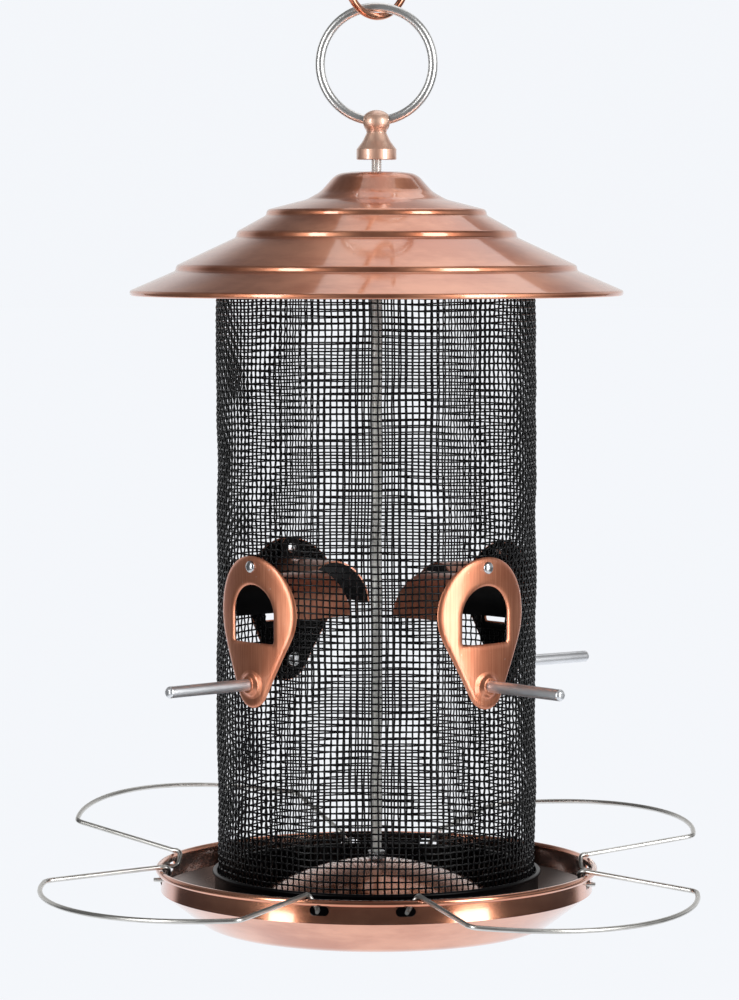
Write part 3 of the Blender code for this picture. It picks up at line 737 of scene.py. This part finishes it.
def makeHood():
    radius, centre, wall = hood["radius"], hood["centre"], hood["wall"]
    foot = centre - hood["skirt"]
    section = [(radius, foot), *arcPoints((0, centre), radius, 0, 180, 32), (-radius, foot)]
    piece = traceLine("portHood", [(x * mm, -hood["from"] * mm, z * mm) for x, z in section])
    editMode()
    bpy.ops.mesh.extrude_region_move(TRANSFORM_OT_translate={"value": (0, -hood["depth"] * mm, 0)})
    selectAll()
    bpy.ops.mesh.bisect(plane_co=(0, -hood["inner"] * mm, foot * mm), plane_no=(0, 1, hood["slope"]),
                        clear_outer=True)
    turnOutward()
    if max(piece.data.polygons, key=lambda face: face.center.z).normal.z < 0:
        flipFaces()
    thicken(paint(piece, hoodCopper, paintedShadeBack), hood["sheet"])
    bpy.ops.mesh.primitive_cylinder_add(vertices=192, radius=wall * mm, depth=hood["cutterHeight"] * mm,
                                        location=(0, 0, centre * mm))
    cut(piece, bpy.context.object, "INTERSECT")

    half, lap = hood["tabHalf"], centre + radius - hood["tabLap"]
    tab = flatLine("hoodTab", [(-half, lap), (half, lap),
                               *arcPoints((0, hood["tabTop"] - half), half, 0, 180, 16)], wall)
    editMode()
    weld()
    bpy.ops.mesh.edge_face_add()
    objectMode()
    if tab.data.polygons[0].normal.y > 0:
        flipFaces()
    thicken(paint(tab, hoodCopper, paintedShadeBack), hood["sheet"])
    bendRound(tab, wall)
    return named(joined(smooth(piece, 40), smooth(tab, 40)), "portHood1")


rivet = {"height": 176.0, "head": 78.1, "headRadius": 2.9, "headHeight": 1.6, "edge": (2.7, 77.85),
         "shank": 1.5, "neck": 77.8,
         "clench": ((1.5, 73.2), (2.5, 73.0), (2.4, 72.5), (0.9, 72.0), (nearAxis, 72.3))}


def makeRivet():
    base, radius, tall = rivet["head"], rivet["headRadius"], rivet["headHeight"]
    dome = [(radius * cos(radians(a)), base + tall * sin(radians(a))) for a in range(90, 0, -10)]
    outline = [*dome, (radius, base), rivet["edge"], (rivet["shank"], rivet["neck"]), *rivet["clench"]]
    return paint(smooth(spun("portRivet1", outline, steps=32, height=rivet["height"]), 45), zincPlate)


perch = {"height": 121.0, "radius": 2.75, "tip": 127.6, "root": 79.6, "shank": 2.0, "shoulder": 79.2,
         "end": 68.8, "bends": [1.9, 0.3, 0.2, 0.3]}


def makePerch():
    radius, shank = perch["radius"], perch["shank"]
    outline = rounded([(nearAxis, perch["tip"]), (radius, perch["tip"]), (radius, perch["root"]),
                       (shank, perch["shoulder"]), (shank, perch["end"]), (nearAxis, perch["end"])],
                      perch["bends"], steps=8)
    piece = spun("perch1", outline, steps=40, height=perch["height"])
    return paint(smooth(piece, 45), perchAluminium)


nut = {"chamfer": 0.35, "overhang": 0.2, "crownShare": 0.96, "chamferShare": 1.6,
       "perch": {"acrossFlats": 7.0, "thickness": 3.2, "hole": 2.05, "place": 70.84},
       "rod": {"acrossFlats": 8.0, "thickness": 3.8, "hole": 2.6, "bottom": 24.5, "top": 31.3,
               "turn": 0.3}}


def makeNut(name, size):
    # a hexagon on z = 0, chamfered both ways
    corner, thickness = size["acrossFlats"] / sqrt(3), size["thickness"]
    bpy.ops.mesh.primitive_cylinder_add(vertices=6, radius=corner * mm, depth=thickness * mm,
                                        location=(0, 0, thickness / 2 * mm))
    piece = named(settle(bpy.context.object), name)
    crown = size["acrossFlats"] / 2 * nut["crownShare"]
    edge, drop = corner + nut["overhang"], nut["chamfer"] * nut["chamferShare"]
    dome = [(nearAxis, thickness), (crown, thickness), (edge, thickness - drop), (edge, drop),
            (crown, 0.0), (nearAxis, 0.0)]
    cut(piece, spun("nutDome", dome, steps=36), "INTERSECT")
    bpy.ops.mesh.primitive_cylinder_add(vertices=24, radius=size["hole"] * mm, depth=4 * thickness * mm)
    cut(piece, bpy.context.object)
    return paint(smooth(piece, 30), zincPlate)


def makePorts():
    perchNut = makeNut("perchNut1", nut["perch"])
    perchNut.rotation_euler.x = pi / 2
    perchNut.location = (0, -nut["perch"]["place"] * mm, perch["height"] * mm)
    settle(perchNut)
    kinds = ((makePlate(), "portPlate", "port_plate", "copper"),
             (makeHood(), "portHood", "port_hood", "copper"),
             (makeRivet(), "portRivet", "port_rivet", "zinc"),
             (makePerch(), "perch", "perch", "aluminium"),
             (perchNut, "perchNut", "perch_nut", "zinc"))
    for piece, name, node, slotName in kinds:
        for port in ports[1:]:
            other = copyOf(piece, f"{name}{port}", portTurns[port - 1])
            finished(other, "feeder", slotName, f"{node}_{port}")
        finished(piece, "feeder", slotName, f"{node}_1")


makePorts()
print("ports done")


# ---------- rod and its fastenings

rod = {"radius": 2.5, "root": 2.08, "pitch": 0.8, "bottom": 21.8, "top": 373.6, "steps": 14,
       "crest": (0.34, 0.56), "foot": 0.9}
washer = {"inside": 2.8, "outside": 6.0, "bottom": 28.6, "top": 29.6, "bends": [0.25, 0.25]}


def makeRod():
    pitch, root, crest = rod["pitch"], rod["root"], rod["radius"]
    turns = int((rod["top"] - rod["bottom"]) / pitch) - 1
    profile = [(root, 0.0), *((crest, share * pitch) for share in rod["crest"]),
               (root, rod["foot"] * pitch), (root, pitch)]
    piece = traceLine("threadedRod", [(r * mm, 0, (rod["bottom"] + z) * mm) for r, z in profile])
    useModifier(piece, "SCREW", angle=2 * pi, screw_offset=pitch * mm, iterations=turns,
                steps=rod["steps"], render_steps=rod["steps"], use_merge_vertices=True,
                merge_threshold=2e-6)
    editMode()
    weld(2e-6)
    bpy.ops.mesh.fill_holes(sides=0)
    turnOutward()
    finished(paint(smooth(piece, 30), rodSteel), "feeder", "steel_rod", "centre_rod")


def makeFastenings():
    size = nut["rod"]
    piece = makeNut("domeNut", size)
    lower = copyOf(piece, "bottomNut", size["turn"], size["bottom"] * mm)
    finished(lower, "feeder", "zinc", "bottom_nut")
    piece.location.z = size["top"] * mm
    finished(piece, "feeder", "zinc", "dome_nut")
    inside, outside, bottom, top = (washer[key] for key in ("inside", "outside", "bottom", "top"))
    line = rounded([(inside, bottom), (outside, bottom), (outside, top), (inside, top)],
                   washer["bends"], steps=4)
    piece = paint(smooth(spun("bottomWasher", line, steps=48), 40), zincPlate)
    finished(piece, "feeder", "zinc", "bottom_washer")


makeRod()
makeFastenings()
print("rod done")


# ---------- finial, ring and hook

finial = {"bottom": 365.2, "top": 388.8, "ballRadius": 7.1, "overlap": 0.25, "neck": 4.7,
          "neckZ": 378.2, "neckFoot": 378.0, "flare": (6.6, 374.0), "bandRadius": 9.5, "bandTop": 370.2,
          "bore": 2.6, "boreTop": 374.5, "boreTip": 375.7, "bends": [0.35, 9.0, 0.7, 0.45, 0.3, 0.0],
          "holeRadius": 3.6, "holeZ": 383.15, "holeTurn": 45.0,
          "cutterLength": 30}


def makeFinial():
    ballZ = (finial["top"] + finial["neckZ"]) / 2 - finial["overlap"]
    half = (finial["top"] - finial["neckZ"]) / 2 + finial["overlap"]
    ball = [Vector((max(finial["ballRadius"] * sin(radians(a)), nearAxis),
                    ballZ + half * cos(radians(a)))) for a in range(0, 134, 7)]
    band, bore = finial["bandRadius"], finial["bore"]
    skirt = rounded([ball[-1], (finial["neck"], finial["neckFoot"]), finial["flare"],
                     (band, finial["bandTop"]), (band, finial["bottom"]), (bore, finial["bottom"]),
                     (bore, finial["boreTop"]), (nearAxis, finial["boreTip"])], finial["bends"],
                    steps=6)
    piece = spun("finialKnob", [*ball, *skirt[1:]], steps=96)
    bpy.ops.mesh.primitive_cylinder_add(vertices=48, radius=finial["holeRadius"] * mm,
                                        depth=finial["cutterLength"] * mm,
                                        location=(0, 0, finial["holeZ"] * mm),
                                        rotation=(0, pi / 2, radians(finial["holeTurn"])))
    cut(piece, bpy.context.object)
    finished(paint(smooth(piece, 40), finialCopper), "finial", "copper", "finial")


makeFinial()

ring = {"radius": 26.75, "wire": 2.25, "centre": 410.4, "turn": 45.0, "weld": 0.7, "swelling": 1.05}


def makeRing():
    bpy.ops.mesh.primitive_torus_add(major_radius=ring["radius"] * mm, minor_radius=ring["wire"] * mm,
                                     major_segments=144, minor_segments=24, rotation=(pi / 2, 0, 0))
    piece = named(settle(bpy.context.object), "hangingRing")
    # the weld, a slight swelling that rests inside the finial
    pickVerts(piece, lambda co: co.z < 0 and abs(co.x) < ring["weld"] * mm)
    editMode(everything=False)
    bpy.ops.transform.resize(value=(1.0, ring["swelling"], 1.0))
    objectMode()
    piece.rotation_euler.z = radians(ring["turn"])
    piece.location.z = ring["centre"] * mm
    finished(paint(smooth(piece, 80), ringSteel), "ring", "bright_steel", "hanging_ring")


makeRing()

hook = {"wire": 1.8, "bend": 19.0, "lean": 60.0, "lowZ": 451.8, "lowFrom": 25, "highZ": 495.68,
        "highTo": 200, "tips": (0.72, 0.95)}


def makeHook():
    lower = arcPoints((0, hook["lowZ"]), hook["bend"], hook["lowFrom"], -180 - hook["lean"], 60)
    upper = arcPoints((0, hook["highZ"]), hook["bend"], -hook["lean"], hook["highTo"], 60)
    points = [(0, y * mm, z * mm) for y, z in lower + upper]
    piece = wire("hangingHook", points, hook["wire"] * mm, sides=20, tips=hook["tips"])
    finished(paint(smooth(piece, 50), hookCopper), "hook", "copper", "hanging_hook")


makeHook()
print("finial, ring and hook done")


# ---------- wire perches

loops = {"wire": 1.15, "bend": 2.5, "cornerBend": 6.0, "reach": 178.0, "arc": 92.0, "half": 71.5,
         "rise": (-3.0, -5.0, 6.0, 11.0), "crossing": 30.5, "bearing": 34.0, "legBearing": 33.2,
         "holeZ": 23.1, "armZ": 30.05, "legRadius": 100.45, "rimRadius": 104.4, "stub": 107.0,
         "tip": 0.8}


def around(bearing, radius, height):
    return Vector((radius * sin(radians(bearing)), -radius * cos(radians(bearing)), height))


def makeLoop(port, rise):
    # from a hole up the wall's inner side, over the rim, round the loop and back the same way
    rise = radians(rise)
    arc, leg, holeZ, armZ = (loops[key] for key in ("arc", "legRadius", "holeZ", "armZ"))
    centre = loops["reach"] - arc
    over = around(loops["crossing"], loops["rimRadius"], armZ)

    def raised(x, y):
        # a point of the flat loop, swung up about the line where it crosses the rim
        out = over.y - y
        return Vector((x, over.y - out * cos(rise), armZ + out * sin(rise)))

    cornerY = -centre - sqrt(arc ** 2 - loops["half"] ** 2)
    arm = [around(loops["bearing"], loops["stub"], holeZ), around(loops["legBearing"], leg, holeZ),
           around(loops["crossing"], leg, armZ), over, raised(loops["half"], cornerY)]
    sweep = degrees(asin(loops["half"] / arc))
    outer = [raised(x, y - centre)
             for x, y in arcPoints((0, 0), arc, sweep - 90, -sweep - 90, 44)[1:-1]]
    corners = arm + outer + [Vector((-p.x, p.y, p.z)) for p in reversed(arm)]
    bends = [loops["bend"]] * 3 + [loops["cornerBend"]]
    path = [corners[0]]
    for i, bend in enumerate(bends + [0.0] * len(outer) + bends[::-1], start=1):
        path += rounded(corners[i - 1:i + 2], [bend], steps=8)[1:-1] if bend else [corners[i]]
    path.append(corners[-1])
    name = f"wire_perch_{port}"
    piece = wire(f"wirePerch{port}", [p * mm for p in path], loops["wire"] * mm, sides=14,
                 tips=(loops["tip"],))
    piece.rotation_euler.z = (port - 1) * quarter
    finished(paint(smooth(piece, 50), wireSteel), name, "wire_steel", name)


for port, rise in zip(ports, loops["rise"]):
    makeLoop(port, rise)
print("wire perches done")


# ---------- stage, light and camera

stage = {"floor": -0.45, "size": 40.0, "tone": (0.905, 0.925, 0.96), "cameraTurn": 48.6,
         "dimFrom": 0.6, "dimTo": 1.3, "dimSpread": 0.75, "dimEdge": 0.35, "dimming": 0.92}
cameraTurn = radians(stage["cameraTurn"])
toCamera = Vector((sin(cameraTurn), -cos(cameraTurn), 0))
toRight = Vector((cos(cameraTurn), sin(cameraTurn), 0))


def makeFloor():
    # as pale as the backdrop to the camera, and dimmer on the camera's side to the metal
    bpy.ops.mesh.primitive_circle_add(vertices=96, radius=stage["size"], fill_type="NGON",
                                      location=(0, 0, stage["floor"]))
    floor = bpy.context.object
    floor.name = "floor"
    finish = Finish("paleFloor", Base_Color=(0.02, 0.02, 0.02), Roughness=1.0,
                    Specular_IOR_Level=0.0, Emission_Strength=1.0)
    ahead = finish.x * toCamera.x + finish.y * toCamera.y
    distance = finish.outward()
    seen = finish.node("ShaderNodeLightPath", {}, {}, "Is Camera Ray")
    dim = (finish.between(distance, stage["dimFrom"], stage["dimTo"])
           * finish.between(ahead + distance * stage["dimSpread"], 0.0, stage["dimEdge"]))
    lit = 1.0 - dim * (1.0 - seen) * stage["dimming"]
    finish.feed("Emission Color", finish.blend(lit, (0.0, 0.0, 0.0), stage["tone"]))
    paint(floor, finish.material)


makeFloor()

# the studio that the metal mirrors: a white backdrop behind, and a dim room on the camera's side and
# overhead, lighter towards the right
sky = {"backdrop": 1.0, "room": 0.09, "right": 0.42, "ceiling": 0.16, "ceilingSpan": (0.30, 0.60),
       "rightSpan": (0.2, 0.95), "frontSpan": (-0.75, -0.40)}


def makeSky():
    world = bpy.data.worlds.new("studio")
    bpy.context.scene.world = world
    world.use_nodes = True
    tree = world.node_tree
    tree.nodes.clear()

    def add(kind, values, **settings):
        made = tree.nodes.new(kind)
        for name, value in settings.items():
            setattr(made, name, value)
        for key, value in values.items():
            if isinstance(value, bpy.types.NodeSocket):
                tree.links.new(value, made.inputs[key])
            else:
                made.inputs[key].default_value = value
        return made

    def along(direction):
        made = add("ShaderNodeVectorMath", {0: coords, 1: direction}, operation="DOT_PRODUCT")
        return made.outputs["Value"]

    def ramp(value, span, low=0.0, high=1.0):
        values = {"Value": value, "From Min": span[0], "From Max": span[1],
                  "To Min": low, "To Max": high}
        return add("ShaderNodeMapRange", values, interpolation_type="SMOOTHSTEP").outputs["Result"]

    def mix(mask, first, second):
        return add("ShaderNodeMix", {0: mask, 2: first, 3: second}).outputs[0]

    coords = add("ShaderNodeTexCoord", {}).outputs["Generated"]
    room = ramp(along(toRight), sky["rightSpan"], sky["room"], sky["right"])
    wall = mix(ramp(along(toCamera), sky["frontSpan"]), sky["backdrop"], room)
    height = add("ShaderNodeSeparateXYZ", {0: coords}).outputs["Z"]
    lit = add("ShaderNodeBackground", {"Strength": mix(ramp(height, sky["ceilingSpan"]), wall,
                                                       sky["ceiling"])})
    seen = add("ShaderNodeBackground", {"Color": rgba(stage["tone"])})
    mask = add("ShaderNodeLightPath", {}).outputs["Is Camera Ray"]
    mixed = add("ShaderNodeMixShader", {0: mask, 1: lit.outputs[0], 2: seen.outputs[0]})
    add("ShaderNodeOutputWorld", {0: mixed.outputs[0]})


makeSky()


aim = Vector((0, 0, 0.2))
softboxes = {
    "keyRight": {"turn": 50, "up": 8, "distance": 1.7, "width": 0.62, "height": 1.9, "power": 22},
    "fillLeft": {"turn": -50, "up": 8, "distance": 1.8, "width": 0.46, "height": 1.9, "power": 16},
    "topBack": {"turn": 160, "up": 68, "distance": 1.7, "width": 1.1, "height": 1.9, "power": 6.5}}


def softbox(name, turn, up, distance, width, height, power):
    # turn is degrees to the camera's right, seen from the feeder, and up is degrees above level
    flat = toCamera * cos(radians(turn)) + toRight * sin(radians(turn))
    place = flat * distance * cos(radians(up)) + aim + Vector((0, 0, distance * sin(radians(up))))
    bpy.ops.object.light_add(type="AREA", location=place)
    light = bpy.context.object
    light.name = name
    light.data.shape = "RECTANGLE"
    light.data.size = width
    light.data.size_y = height
    light.data.energy = power
    light.rotation_euler = (aim - place).to_track_quat("-Z", "Y").to_euler()


for name, settings in softboxes.items():
    softbox(name, **settings)

view = {"distance": 1.869, "height": 0.330, "pitch": 3.87, "lens": 141.4, "sensor": 36.0,
        "shift": -0.007}
bpy.ops.object.camera_add(location=toCamera * view["distance"] + Vector((0, 0, view["height"])),
                          rotation=(radians(90 - view["pitch"]), 0, cameraTurn))
camera = bpy.context.object
camera.data.lens = view["lens"]
camera.data.sensor_width = view["sensor"]
camera.data.shift_x = view["shift"]
bpy.context.scene.camera = camera
bpy.context.scene.view_settings.view_transform = "Standard"
print("stage set")
